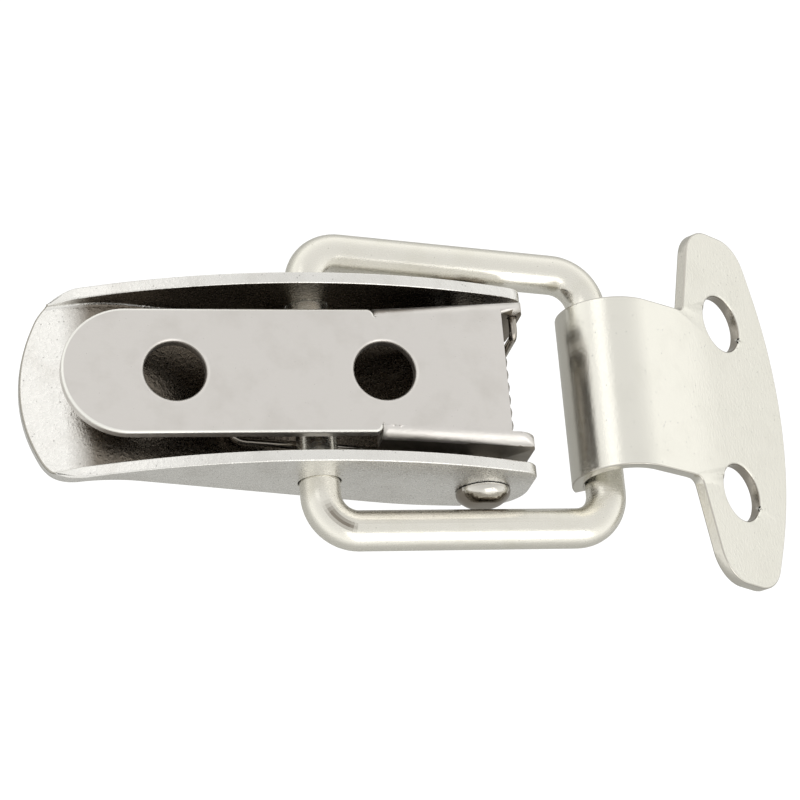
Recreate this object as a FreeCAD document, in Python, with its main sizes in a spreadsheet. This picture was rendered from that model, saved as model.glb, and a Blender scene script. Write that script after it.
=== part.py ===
import FreeCAD, Part

import math
import os

import Sketcher
from FreeCAD import Rotation, Vector

# Over centre toggle latch in stamped sheet and bent wire. Millimetres and degrees.
# +Z points out of the face that the base is screwed down by, +X runs towards the strike and the
# origin lies on that face, midway between the two screw holes. The lever hangs on the -Z side.

SIZES = {
    # base plate: a flat web with two ears folded down at the pivot end
    "base_sheet": 0.85,
    "base_width": 9.7,
    "base_reach": 15.95,
    "base_hole_spacing": 15.4,
    "base_hole_diameter": 4.5,
    "base_rim_radius": 0.35,
    "fold_start": 7.25,
    "fold_corner_radius": 0.6,
    "web_end": 16.8,
    "ear_gap_at_fold": 1.34,
    "ear_flare": 3.1,
    "ear_radius": 3.1,
    "ear_shoulder": 2.6,
    "ear_corner_radius": 1.5,
    "fold_radius": 0.25,
    # rivet that joins the lever's cheeks to the ears
    "pivot_reach": 15.6,
    "pivot_depth": 5.7,
    "rivet_diameter": 3.1,
    "rivet_head_diameter": 4.1,
    "rivet_head_rim": 0.45,
    "rivet_head_dome": 0.7,
    "rivet_head_flat": 1.15,
    "pivot_clearance": 0.05,
    "head_clearance": 0.05,
    # lever: a channel with arched cheeks and a flared thumb lip
    "lever_sheet": 0.88,
    "lever_width": 14.74,
    "lever_bend_radius": 1.2,
    "lip_reach": 18.5,
    "lip_depth": 5.4,
    "lip_end_radius": 12.0,
    "lip_corner_run": 2.49,
    "lip_corner_radius": 3.5,
    "saddle_reach": 12.4,
    "saddle_depth": 3.45,
    "saddle_radius": 7.0,
    "belly_reach": 10.3,
    "belly_depth": 9.56,
    "belly_radius": 30.0,
    "nose_radius": 3.5,
    "nose_top_radius": 1.5,
    "cheek_crown_reach": 2.5,
    "cheek_crown_height": 0.9,
    "cheek_crown_radius": 46.6,
    "cheek_end_reach": 14.5,
    "cheek_end_radius": 6.0,
    "run_out_reach": 17.2,
    "run_out_depth": 4.1,
    "floor_end": 14.6,
    "floor_depth": 9.86,
    "floor_relief": 0.6,
    # bail: one bent wire whose ends turn in through the cheeks
    "bail_wire": 3.0,
    "bail_pivot_reach": 2.96,
    "bail_pivot_depth": 3.7,
    "bail_length": 22.4,
    "bail_tilt": 6.8,
    "leg_gap_at_pivot": 2.23,
    "leg_gap_at_cross": 1.28,
    "bail_pivot_bend": 2.6,
    "bail_cross_bend": 2.8,
    "bail_end_reach": 3.29,
    "bail_clearance": 0.08,
    # strike: a leaf with a tongue that curls round the bail's cross wire
    "strike_sheet": 0.9,
    "strike_pitch": 36.5,
    "strike_hole_spacing": 13.9,
    "strike_hole_diameter": 4.5,
    "strike_rim_radius": 0.2,
    "leaf_half_length": 14.4,
    "leaf_front": 6.515,
    "leaf_front_radius": 30.0,
    "leaf_shoulder_run": 3.53,
    "leaf_tip_back": 2.95,
    "leaf_tip_radius": 3.0,
    "leaf_back": 4.95,
    "tongue_gap": 0.6,
    "tongue_root_radius": 0.7,
    "tongue_flat": 6.0,
    "hook_radius": 4.0,
    "hook_reach": 8.85,
    "hook_drop": 0.35,
    "hook_wrap": 160.0,
    "hook_seat": 56.6,
    "hook_bearing_gap": 0.05,
    # torsion spring round the rivet
    "spring_wire": 0.6,
    "coil_radius": 2.45,
    "coil_turns": 7.0,
    "tail_side_gap": 1.12,
    "arm_side_gap": 0.64,
    "tail_depth": 1.7,
    "tail_bend": 0.6,
    "tail_projection": 0.2,
    "tail_clearance": 0.08,
    "arm_reach": 3.3,
    "arm_bend": 1.1,
    "arm_hook": 2.2,
    "arm_gap": 0.03,
}


class Size:
    """A dimension with its present value and the sheet expression that gives it."""

    def __init__(self, value, text):
        self.value = float(value)
        self.text = text

    def __add__(self, other):
        other = as_size(other)
        return Size(self.value + other.value, "(%s + %s)" % (self.text, other.text))

    def __sub__(self, other):
        other = as_size(other)
        return Size(self.value - other.value, "(%s - %s)" % (self.text, other.text))

    def __mul__(self, other):
        other = as_size(other)
        return Size(self.value * other.value, "(%s * %s)" % (self.text, other.text))

    def __truediv__(self, other):
        other = as_size(other)
        return Size(self.value / other.value, "(%s / %s)" % (self.text, other.text))

    def __neg__(self):
        return Size(-self.value, "(0 - %s)" % self.text)

    def __radd__(self, other):
        return as_size(other) + self


def as_size(number):
    """Return number as a Size, so that plain factors can stand in a formula."""
    if isinstance(number, Size):
        return number
    return Size(number, repr(float(number)))


def cosine(angle):
    """Cosine of a Size in degrees."""
    return Size(math.cos(math.radians(angle.value)), "cos(%s)" % angle.text)


def sine(angle):
    """Sine of a Size in degrees."""
    return Size(math.sin(math.radians(angle.value)), "sin(%s)" % angle.text)


def tangent(angle):
    """Tangent of a Size in degrees."""
    return Size(math.tan(math.radians(angle.value)), "tan(%s)" % angle.text)


def arcsine(share):
    """Angle in degrees whose sine is a Size."""
    return Size(math.degrees(math.asin(share.value)), "asin(%s)" % share.text)


doc = FreeCAD.newDocument("ToggleLatch")
sheet = doc.addObject("Spreadsheet::Sheet", "Sizes")
for row, (name, number) in enumerate(SIZES.items(), start=1):
    sheet.set("A%d" % row, name)
    sheet.set("B%d" % row, str(number))
    sheet.setAlias("B%d" % row, name)
doc.recompute()


def size(name):
    """Read one driving dimension from the sheet."""
    return Size(getattr(sheet, name), "Sizes.%s" % name)


def bind(feature, prop, value):
    """Tie one property of a feature to the sheet."""
    feature.setExpression(prop, as_size(value).text)


# bodies and sketches


def new_body(label):
    body = doc.addObject("PartDesign::Body", label)
    body.Label = label
    return body


def place(body, x, z, pitch=None):
    """Put a body at a point of the mid plane, turned about Y."""
    body.Placement = FreeCAD.Placement(Vector(x.value, 0, z.value), Rotation(Vector(0, 1, 0), 1))
    bind(body, "Placement.Base.x", x)
    bind(body, "Placement.Base.z", z)
    bind(body, "Placement.Rotation.Angle", pitch if pitch is not None else as_size(0))


def new_sketch(body, name, role):
    sketch = body.newObject("Sketcher::SketchObject", name)
    plane = [item for item in body.Origin.OriginFeatures if item.Role == role][0]
    sketch.AttachmentSupport = (plane, [""])
    sketch.MapMode = "FlatFace"
    return sketch


def fix(sketch, kind, geometry, point, value):
    """Hold one coordinate of a sketch point at a Size."""
    index = sketch.addConstraint(Sketcher.Constraint(kind, geometry, point, value.value))
    sketch.setExpression("Constraints[%d]" % index, value.text)


def fix_point(sketch, geometry, point, x, y):
    fix(sketch, "DistanceX", geometry, point, as_size(x))
    fix(sketch, "DistanceY", geometry, point, as_size(y))


def fix_radius(sketch, geometry, radius):
    index = sketch.addConstraint(Sketcher.Constraint("Radius", geometry, radius.value))
    sketch.setExpression("Constraints[%d]" % index, radius.text)


def add_circle(sketch, x, y, radius):
    x, y = as_size(x), as_size(y)
    centre = Vector(x.value, y.value, 0)
    index = sketch.addGeometry(Part.Circle(centre, Vector(0, 0, 1), radius.value))
    fix_point(sketch, index, 3, x, y)
    fix_radius(sketch, index, radius)


def corner_arc(before, corner, after, radius):
    """Where a rounded corner leaves its two edges, and the centre of its arc."""
    back = (before - corner).normalize()
    ahead = (after - corner).normalize()
    half = back.getAngle(ahead) / 2
    reach = radius / math.tan(half)
    centre = corner + (back + ahead).normalize() * (radius / math.sin(half))
    return corner + back * reach, corner + ahead * reach, centre


def add_outline(sketch, corners, closed=True):
    """Draw straight edges through corners (x, y, radius), rounded where the radius isn't None."""
    corners = [tuple(corner) + (None,) * (3 - len(corner)) for corner in corners]
    corners = [(as_size(x), as_size(y), r) for x, y, r in corners]
    spots = [Vector(x.value, y.value, 0) for x, y, r in corners]
    count = len(corners)
    rounds = []
    for i, (x, y, radius) in enumerate(corners):
        if radius is None:
            rounds.append((spots[i], spots[i], None))
        else:
            after = spots[(i + 1) % count]
            rounds.append(corner_arc(spots[i - 1], spots[i], after, as_size(radius).value))
    lines = {}
    for i in range(count if closed else count - 1):
        following = (i + 1) % count
        lines[i] = sketch.addGeometry(Part.LineSegment(rounds[i][1], rounds[following][0]))
    for i, (x, y, radius) in enumerate(corners):
        arriving = lines.get((i - 1) % count)
        leaving = lines.get(i)
        if radius is None:
            if arriving is not None and leaving is not None:
                sketch.addConstraint(Sketcher.Constraint("Coincident", arriving, 2, leaving, 1))
            if leaving is not None:
                fix_point(sketch, leaving, 1, x, y)
            else:
                fix_point(sketch, arriving, 2, x, y)
            continue
        entry, leave, centre = rounds[i]
        left_turn = (spots[i] - spots[i - 1]).cross(spots[(i + 1) % count] - spots[i]).z > 0
        start, end = (entry - centre, leave - centre) if left_turn else (leave - centre, entry - centre)
        circle = Part.Circle(centre, Vector(0, 0, 1), as_size(radius).value)
        angles = math.atan2(start.y, start.x), math.atan2(end.y, end.x)
        arc = sketch.addGeometry(Part.ArcOfCircle(circle, *angles))
        corner = sketch.addGeometry(Part.Point(spots[i]), True)
        fix_point(sketch, corner, 1, x, y)
        sketch.addConstraint(Sketcher.Constraint("PointOnObject", corner, 1, arriving))
        sketch.addConstraint(Sketcher.Constraint("PointOnObject", corner, 1, leaving))
        first, last = (1, 2) if left_turn else (2, 1)
        sketch.addConstraint(Sketcher.Constraint("Tangent", arriving, 2, arc, first))
        sketch.addConstraint(Sketcher.Constraint("Tangent", arc, last, leaving, 1))
        fix_radius(sketch, arc, as_size(radius))


# features


def pad(body, sketch, name, length, both_sides=False, reverse=False):
    feature = body.newObject("PartDesign::Pad", name)
    feature.Profile = sketch
    feature.Midplane = both_sides
    feature.Reversed = reverse
    bind(feature, "Length", length)
    doc.recompute()
    return feature


def cut_through(body, sketch, name, one_side=False):
    """Cut a sketch right through the body: both ways, or with one_side only behind its plane."""
    before = body.Shape.Volume
    feature = body.newObject("PartDesign::Pocket", name)
    feature.Profile = sketch
    feature.Type = "ThroughAll"
    feature.Midplane = not one_side
    doc.recompute()
    if "Invalid" in feature.State or body.Shape.Volume >= before - 1e-6:
        raise RuntimeError("%s removed nothing" % name)
    return feature


def round_edges(body, name, radius, wanted):
    """Fillet the edges of the body's tip for which wanted(edge) holds."""
    base = body.Tip
    names = ["Edge%d" % i for i, edge in enumerate(base.Shape.Edges, start=1) if wanted(edge)]
    if not names:
        raise RuntimeError("%s found no edge" % name)
    feature = body.newObject("PartDesign::Fillet", name)
    feature.Base = (base, names)
    bind(feature, "Radius", radius)
    doc.recompute()
    return feature


def near(value, target, slack=1e-4):
    return abs(value - target) < slack


# where the pieces meet, in the latch's own frame

pivot_x = size("pivot_reach")
pivot_z = -size("pivot_depth")
bail_x = size("bail_pivot_reach")
bail_z = -size("bail_pivot_depth")
cross_x = bail_x + size("bail_length") * cosine(size("bail_tilt"))
cross_z = bail_z - size("bail_length") * sine(size("bail_tilt"))
cheek_outer = size("lever_width") / 2
cheek_inner = cheek_outer - size("lever_sheet")
pivot_bore = size("rivet_diameter") / 2 + size("pivot_clearance")
spring_hole_x = size("coil_radius") + pivot_x
spring_hole_z = -size("tail_depth")
leg_at_pivot = cheek_outer + size("leg_gap_at_pivot") + size("bail_wire") / 2
leg_at_cross = cheek_outer + size("leg_gap_at_cross") + size("bail_wire") / 2
bail_end = cheek_inner - size("bail_end_reach")


def ear_outside(x):
    """Half width over the ears at x: they flare from the fold's start towards the cheeks."""
    return cheek_inner - size("ear_gap_at_fold") + (x - size("fold_start")) * tangent(size("ear_flare"))


def make_base_plate():
    body = new_body("base_plate")
    sheet_metal = size("base_sheet")
    half = size("base_width") / 2
    fold = size("fold_start")
    end = size("web_end")
    ear_end = pivot_x + size("ear_radius")
    ear_bottom = -(size("pivot_depth") + size("ear_radius"))

    web = new_sketch(body, "WebOutline", "XY_Plane")
    web_points = [
        (-size("base_reach"), half, half * 0.998),
        (-size("base_reach"), -half, half * 0.998),
        (fold, -half, size("fold_corner_radius")),
        (fold, sheet_metal * 2 - ear_outside(fold)),
        (end, sheet_metal * 2 - ear_outside(end)),
        (end, ear_outside(end) - sheet_metal * 2),
        (fold, ear_outside(fold) - sheet_metal * 2),
        (fold, half, size("fold_corner_radius")),
    ]
    add_outline(web, web_points)
    pad(body, web, "Web", sheet_metal, reverse=True)

    # each ear is lofted from the fold to its free end, bend and all, so that it flares
    for side, name in ((1, "Left"), (-1, "Right")):
        sections = []
        for station, x in (("Root", fold), ("End", ear_end)):
            section = new_sketch(body, name + "Ear" + station, "YZ_Plane")
            bind(section, "AttachmentOffset.Base.z", x)
            outside = ear_outside(x)
            add_outline(section, [
                ((outside - sheet_metal * 2.5) * side, 0),
                (outside * side, 0, size("fold_radius") + sheet_metal),
                (outside * side, ear_bottom),
                ((outside - sheet_metal) * side, ear_bottom),
                ((outside - sheet_metal) * side, -sheet_metal, size("fold_radius")),
                ((outside - sheet_metal * 2.5) * side, -sheet_metal),
            ])
            sections.append(section)
        ear = body.newObject("PartDesign::AdditiveLoft", name + "Ear")
        ear.Profile = sections[0]
        ear.Sections = sections[1:]
        ear.Ruled = True
        doc.recompute()

    # past the web's edge only the ears themselves go on
    gap = new_sketch(body, "PastWeb", "XY_Plane")
    add_outline(gap, [
        (end, ear_outside(end) - sheet_metal),
        (end, sheet_metal - ear_outside(end)),
        (ear_end, sheet_metal - ear_outside(ear_end)),
        (ear_end + sheet_metal, sheet_metal - ear_outside(ear_end)),
        (ear_end + sheet_metal, ear_outside(ear_end) - sheet_metal),
        (ear_end, ear_outside(ear_end) - sheet_metal),
    ])
    cut_through(body, gap, "WebEnd")

    # below the shoulder the ears narrow to a round about the rivet
    trim = new_sketch(body, "EarTrim", "XZ_Plane")
    margin = sheet_metal * 2
    shoulder = -size("ear_shoulder")
    add_outline(trim, [
        (fold - margin, shoulder),
        (fold, shoulder),
        (pivot_x - size("ear_radius"), ear_bottom, size("ear_radius") * 0.95),
        (ear_end, ear_bottom, size("ear_radius") * 0.95),
        (ear_end, pivot_z),
        (ear_end + margin, pivot_z),
        (ear_end + margin, ear_bottom - margin),
        (fold - margin, ear_bottom - margin),
    ])
    corner = size("ear_corner_radius")
    add_outline(trim, [
        (ear_end - corner * 1.5, margin),
        (ear_end - corner * 1.5, 0),
        (ear_end, 0, corner),
        (ear_end, -(corner * 1.5)),
        (ear_end + margin, -(corner * 1.5)),
        (ear_end + margin, margin),
    ])
    cut_through(body, trim, "EarProfile")

    screw_holes = new_sketch(body, "ScrewHoles", "XY_Plane")
    for side in (1, -1):
        add_circle(screw_holes, size("base_hole_spacing") / 2 * side, 0, size("base_hole_diameter") / 2)
    cut_through(body, screw_holes, "Screws")
    round_edges(body, "HoleRims", size("base_rim_radius"), lambda edge: (
        near(edge.BoundBox.ZMin, 0) and near(edge.BoundBox.XLength, size("base_hole_diameter").value)))

    rivet_bores = new_sketch(body, "RivetBores", "XZ_Plane")
    add_circle(rivet_bores, pivot_x, pivot_z, pivot_bore)
    cut_through(body, rivet_bores, "RivetBore")

    spring_hole = new_sketch(body, "SpringHole", "XZ_Plane")
    hole_radius = size("spring_wire") / 2 + size("tail_clearance")
    add_circle(spring_hole, spring_hole_x, spring_hole_z, hole_radius)
    cut_through(body, spring_hole, "SpringTailHole", one_side=True)
    return body


def make_pivot_rivet():
    body = new_body("pivot_rivet")
    place(body, pivot_x, pivot_z)
    shaft = size("rivet_diameter") / 2
    head = size("rivet_head_diameter") / 2
    seat = cheek_outer + size("head_clearance")
    rim = seat + size("rivet_head_rim")
    top = rim + size("rivet_head_dome")
    crown_round = size("rivet_head_dome") * 2.2
    rim_round = size("rivet_head_rim") * 1.6
    profile = new_sketch(body, "RivetProfile", "XY_Plane")
    add_outline(profile, [
        (0, -top),
        (size("rivet_head_flat"), -top, crown_round),
        (head, -rim, rim_round),
        (head, -seat),
        (shaft, -seat),
        (shaft, seat),
        (head, seat),
        (head, rim, rim_round),
        (size("rivet_head_flat"), top, crown_round),
        (0, top),
    ])
    turned = body.newObject("PartDesign::Revolution", "Turned")
    turned.Profile = profile
    turned.ReferenceAxis = (profile, ["V_Axis"])
    turned.Angle = 360
    doc.recompute()
    return body


def make_lever():
    body = new_body("lever")
    metal = size("lever_sheet")
    # the blank runs on past the lip's end, which is cut to its rounded outline last
    lip_slope = (size("lip_depth") - size("saddle_depth")) / (size("lip_reach") - size("saddle_reach"))
    lip = (-(size("lip_reach") + metal), -(size("lip_depth") + metal * lip_slope))
    saddle = (-size("saddle_reach"), -size("saddle_depth"))
    belly = (size("belly_reach"), -size("belly_depth"))
    floor_slope = (size("floor_depth") - size("belly_depth")) / (size("floor_end") - size("belly_reach"))
    floor_end = size("floor_end")
    front = pivot_x + size("nose_radius")
    floor_front = (front, -(size("floor_depth") + (front - size("floor_end")) * floor_slope))

    # the crown is one arc, which runs out straight into the nose and the cheek's end
    crown_x = size("cheek_crown_reach")
    crown_radius = size("cheek_crown_radius")
    crown_z = size("cheek_crown_height") - crown_radius
    end_round = size("nose_top_radius")
    fall_back = arcsine((size("cheek_end_reach") - metal + crown_x) / crown_radius)
    fall_front = arcsine((front - end_round - crown_x) / crown_radius)
    swing = (fall_front - fall_back) / 2
    apex_reach = crown_radius / cosine((fall_front + fall_back) / 2)
    crown = (crown_x + apex_reach * sine(swing), crown_z + apex_reach * cosine(swing), crown_radius)
    cheek_end_z = crown_z + crown_radius * cosine(fall_back) - metal * tangent(fall_back)
    nose_top_z = crown_z + crown_radius * cosine(fall_front) - end_round * tangent(fall_front)

    side = new_sketch(body, "SideProfile", "XZ_Plane")
    add_outline(side, [
        lip,
        saddle + (size("saddle_radius"),),
        belly + (size("belly_radius"),),
        floor_front,
        (front, nose_top_z, end_round),
        crown,
        (-size("cheek_end_reach"), cheek_end_z, size("cheek_end_radius")),
        (lip[0], lip[1] + size("lever_bend_radius") + size("floor_relief")),
    ])
    pad(body, side, "Blank", size("lever_width"), both_sides=True)

    def faces_down(face):
        u0, u1, v0, v1 = face.ParameterRange
        return face.normalAt((u0 + u1) / 2, (v0 + v1) / 2).z < -0.9

    def floor_top(face):
        u0, u1, v0, v1 = face.ParameterRange
        normal = face.normalAt((u0 + u1) / 2, (v0 + v1) / 2)
        return normal.z > 0.9 and face.BoundBox.YLength > cheek_outer.value

    def under_edge(edge):
        beside = body.Tip.Shape.ancestorsOfType(edge, Part.Face)
        along = edge.BoundBox.XLength > metal.value
        return along and any(faces_down(face) for face in beside)

    round_edges(body, "FloorBends", size("lever_bend_radius"), under_edge)

    bores = new_sketch(body, "CheekBores", "XZ_Plane")
    add_circle(bores, pivot_x, pivot_z, pivot_bore)
    add_circle(bores, bail_x, bail_z, size("bail_wire") / 2 + size("bail_clearance"))
    cut_through(body, bores, "Bores")

    # the channel is open towards the base and past the end of its floor
    hollow = new_sketch(body, "Hollow", "XZ_Plane")
    clear = size("cheek_crown_height") + metal * 2
    add_outline(hollow, [
        (lip[0] - metal, lip[1] + metal - metal * lip_slope),
        (saddle[0], saddle[1] + metal, size("saddle_radius") + metal),
        (belly[0], belly[1] + metal, size("belly_radius") - metal),
        (floor_end, metal - size("floor_depth")),
        (floor_end, floor_front[1] - metal),
        (front + metal, floor_front[1] - metal),
        (front + metal, clear),
        (lip[0] - metal, clear),
    ])
    inside = body.newObject("PartDesign::Pocket", "Channel")
    inside.Profile = hollow
    inside.Midplane = True
    bind(inside, "Length", cheek_inner * 2)
    doc.recompute()

    def channel_edge(edge):
        beside = body.Tip.Shape.ancestorsOfType(edge, Part.Face)
        box = edge.BoundBox
        on_cheek = near(box.YLength, 0) and near(abs(box.Center.y), cheek_inner.value)
        return on_cheek and box.XLength > metal.value and any(floor_top(face) for face in beside)

    round_edges(body, "ChannelBends", size("lever_bend_radius") - metal, channel_edge)

    # the floor stops short of the rivet, with a relief step, and the cheeks end round about it
    relief_top = size("lever_bend_radius") + size("floor_relief") / 2 - size("floor_depth")
    nose = new_sketch(body, "NoseOutline", "XZ_Plane")
    nose_bottom = pivot_z - size("nose_radius")
    add_outline(nose, [
        (floor_end, floor_front[1] - metal),
        (floor_end, relief_top),
        (floor_end + size("floor_relief"), relief_top),
        (floor_end + size("floor_relief"), nose_bottom),
        (front, nose_bottom, size("nose_radius") * 0.995),
        (front, pivot_z),
        (front + metal, pivot_z),
        (front + metal, floor_front[1] - metal),
    ])
    cut_through(body, nose, "NoseRounding")

    # the cheeks run out where the lip starts
    run_out = new_sketch(body, "CheekRunOut", "XZ_Plane")
    add_outline(run_out, [
        (-size("cheek_end_reach"), cheek_end_z),
        (-size("run_out_reach"), -size("run_out_depth")),
        (lip[0] - metal, lip[1] + metal),
        (lip[0] - metal, clear),
        (-size("cheek_end_reach"), clear),
    ])
    cut_through(body, run_out, "RunOut")

    # the thumb lip is rounded in plan
    plan = new_sketch(body, "LipPlan", "XY_Plane")
    far = size("lip_reach") + size("lever_width")
    slant = arcsine((cheek_outer - size("lip_corner_run")) / size("lip_end_radius"))
    apex = size("lip_reach") + size("lip_end_radius") * (as_size(1) / cosine(slant) - 1)
    corner_reach = apex - cheek_outer * tangent(slant)
    add_outline(plan, [
        (-corner_reach, cheek_outer, size("lip_corner_radius")),
        (-apex, 0, size("lip_end_radius")),
        (-corner_reach, -cheek_outer, size("lip_corner_radius")),
        (-size("lip_corner_radius"), -cheek_outer),
        (-size("lip_corner_radius"), -far),
        (-far, -far),
        (-far, far),
        (-size("lip_corner_radius"), far),
        (-size("lip_corner_radius"), cheek_outer),
    ])
    cut_through(body, plan, "LipRounding")

    return body


def make_bail():
    body = new_body("bail")
    place(body, bail_x, bail_z, size("bail_tilt"))
    length = size("bail_length")
    path = new_sketch(body, "WirePath", "XY_Plane")
    add_outline(path, [
        (0, -bail_end),
        (0, -leg_at_pivot, size("bail_pivot_bend")),
        (length, -leg_at_cross, size("bail_cross_bend")),
        (length, leg_at_cross, size("bail_cross_bend")),
        (0, leg_at_pivot, size("bail_pivot_bend")),
        (0, bail_end),
    ], closed=False)
    section = new_sketch(body, "WireSection", "XZ_Plane")
    section.AttachmentOffset = FreeCAD.Placement(Vector(0, 0, bail_end.value), Rotation())
    bind(section, "AttachmentOffset.Base.z", bail_end)
    add_circle(section, 0, 0, size("bail_wire") / 2)
    wire = body.newObject("PartDesign::AdditivePipe", "Wire")
    wire.Profile = section
    wire.Spine = path
    doc.recompute()
    return body


def make_strike_plate():
    body = new_body("strike_plate")
    metal = size("strike_sheet")
    pitch = size("strike_pitch")
    hook_x = -size("hook_reach")
    hook_z = -(size("hook_drop") + size("hook_radius"))
    hook_inside = size("hook_radius") - metal
    # the wire bears on the inside of the hook, off the hook's own centre
    seat = hook_inside - size("bail_wire") / 2 - size("hook_bearing_gap")
    wire_x = hook_x - seat * cosine(size("hook_seat"))
    wire_z = hook_z - seat * sine(size("hook_seat"))
    place(
        body,
        cross_x - wire_x * cosine(pitch) - wire_z * sine(pitch),
        cross_z + wire_x * sine(pitch) - wire_z * cosine(pitch),
        pitch,
    )

    # the tongue fits between the bends of the bail, and the leaf's front is an arc that runs out
    # straight into its two rounded tips
    half = leg_at_cross - size("bail_cross_bend") - size("tongue_gap")
    tip = size("leaf_half_length")
    slant = arcsine((tip - size("leaf_shoulder_run")) / size("leaf_front_radius"))
    apex = size("leaf_front") + size("leaf_front_radius") * (as_size(1) / cosine(slant) - 1)
    tip_front = apex - tip * tangent(slant)
    leaf = new_sketch(body, "LeafOutline", "XY_Plane")
    add_outline(leaf, [
        (apex, 0, size("leaf_front_radius")),
        (tip_front, tip, size("leaf_tip_radius")),
        (-size("leaf_tip_back"), tip, size("leaf_tip_radius")),
        (-size("leaf_back"), half, size("tongue_root_radius")),
        (-size("tongue_flat"), half),
        (-size("tongue_flat"), -half),
        (-size("leaf_back"), -half, size("tongue_root_radius")),
        (-size("leaf_tip_back"), -tip, size("leaf_tip_radius")),
        (tip_front, -tip, size("leaf_tip_radius")),
    ])
    pad(body, leaf, "Leaf", metal, reverse=True)

    # the tongue dips a little, then curls down and under
    curl = new_sketch(body, "CurlProfile", "XZ_Plane")
    root = Vector(-size("tongue_flat").value, 0, 0)
    centre = Vector(hook_x.value, hook_z.value, 0)
    outer = size("hook_radius")
    end_angle = math.radians(90 + size("hook_wrap").value)

    def tangent_point(start, radius):
        reach = start - centre
        spread = math.acos(radius / reach.Length)
        bearing = math.atan2(reach.y, reach.x) + spread
        return centre + Vector(math.cos(bearing), math.sin(bearing), 0) * radius, bearing

    low_root = root - Vector(0, metal.value, 0)
    outer_touch, outer_start = tangent_point(root, outer.value)
    inner_touch, inner_start = tangent_point(low_root, hook_inside.value)

    def ring(radius, start):
        circle = Part.Circle(centre, Vector(0, 0, 1), radius)
        return Part.ArcOfCircle(circle, start, end_angle)

    def ring_end(radius):
        return centre + Vector(math.cos(end_angle), math.sin(end_angle), 0) * radius

    top = curl.addGeometry(Part.LineSegment(root, outer_touch))
    outside = curl.addGeometry(ring(outer.value, outer_start))
    lip = curl.addGeometry(Part.LineSegment(ring_end(outer.value), ring_end(hook_inside.value)))
    inside = curl.addGeometry(ring(hook_inside.value, inner_start))
    under = curl.addGeometry(Part.LineSegment(inner_touch, low_root))
    back = curl.addGeometry(Part.LineSegment(low_root, root))
    for first, last in ((outside, lip), (under, back), (back, top)):
        curl.addConstraint(Sketcher.Constraint("Coincident", first, 2, last, 1))
    curl.addConstraint(Sketcher.Constraint("Coincident", lip, 2, inside, 2))
    curl.addConstraint(Sketcher.Constraint("Coincident", outside, 3, inside, 3))
    curl.addConstraint(Sketcher.Constraint("Tangent", top, 2, outside, 1))
    curl.addConstraint(Sketcher.Constraint("Tangent", inside, 1, under, 1))
    curl.addConstraint(Sketcher.Constraint("PointOnObject", inside, 3, lip))
    fix_point(curl, top, 1, -size("tongue_flat"), 0)
    fix_point(curl, back, 1, -size("tongue_flat"), -metal)
    fix_point(curl, outside, 3, hook_x, hook_z)
    fix_radius(curl, outside, outer)
    fix_radius(curl, inside, hook_inside)
    fix(curl, "DistanceX", outside, 2, hook_x - outer * sine(size("hook_wrap")))
    pad(body, curl, "Curl", half * 2, both_sides=True)

    holes = new_sketch(body, "StrikeHoles", "XY_Plane")
    for side in (1, -1):
        add_circle(holes, 0, size("strike_hole_spacing") / 2 * side, size("strike_hole_diameter") / 2)
    cut_through(body, holes, "Holes")
    round_edges(body, "StrikeHoleRims", size("strike_rim_radius"), lambda edge: (
        near(edge.BoundBox.ZMin, 0) and near(edge.BoundBox.XLength, size("strike_hole_diameter").value)))
    return body


def end_face(solid, point):
    """The flat face of a wire's solid that is centred on point."""
    flats = [face for face in solid.Faces if isinstance(face.Surface, Part.Plane)]
    return min(flats, key=lambda face: face.CenterOfMass.distanceToPoint(point))


def wire_run(face, points, bend_radii):
    """Solids that carry a wire's end face along straight runs with a round bend at each corner."""
    face = face.copy()
    solids = []
    here = points[0]
    for corner, after, bend_radius in zip(points[1:], points[2:], bend_radii):
        entry, leave, centre = corner_arc(here, corner, after, bend_radius)
        axis = (corner - here).cross(after - corner)
        turn = math.degrees((corner - here).getAngle(after - corner))
        solids.append(face.extrude(entry - here))
        face = face.translated(entry - here)
        solids.append(face.revolve(centre, axis, turn))
        face = face.rotated(centre, axis, turn)
        here = leave
    solids.append(face.extrude(points[-1] - here))
    return solids


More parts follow.
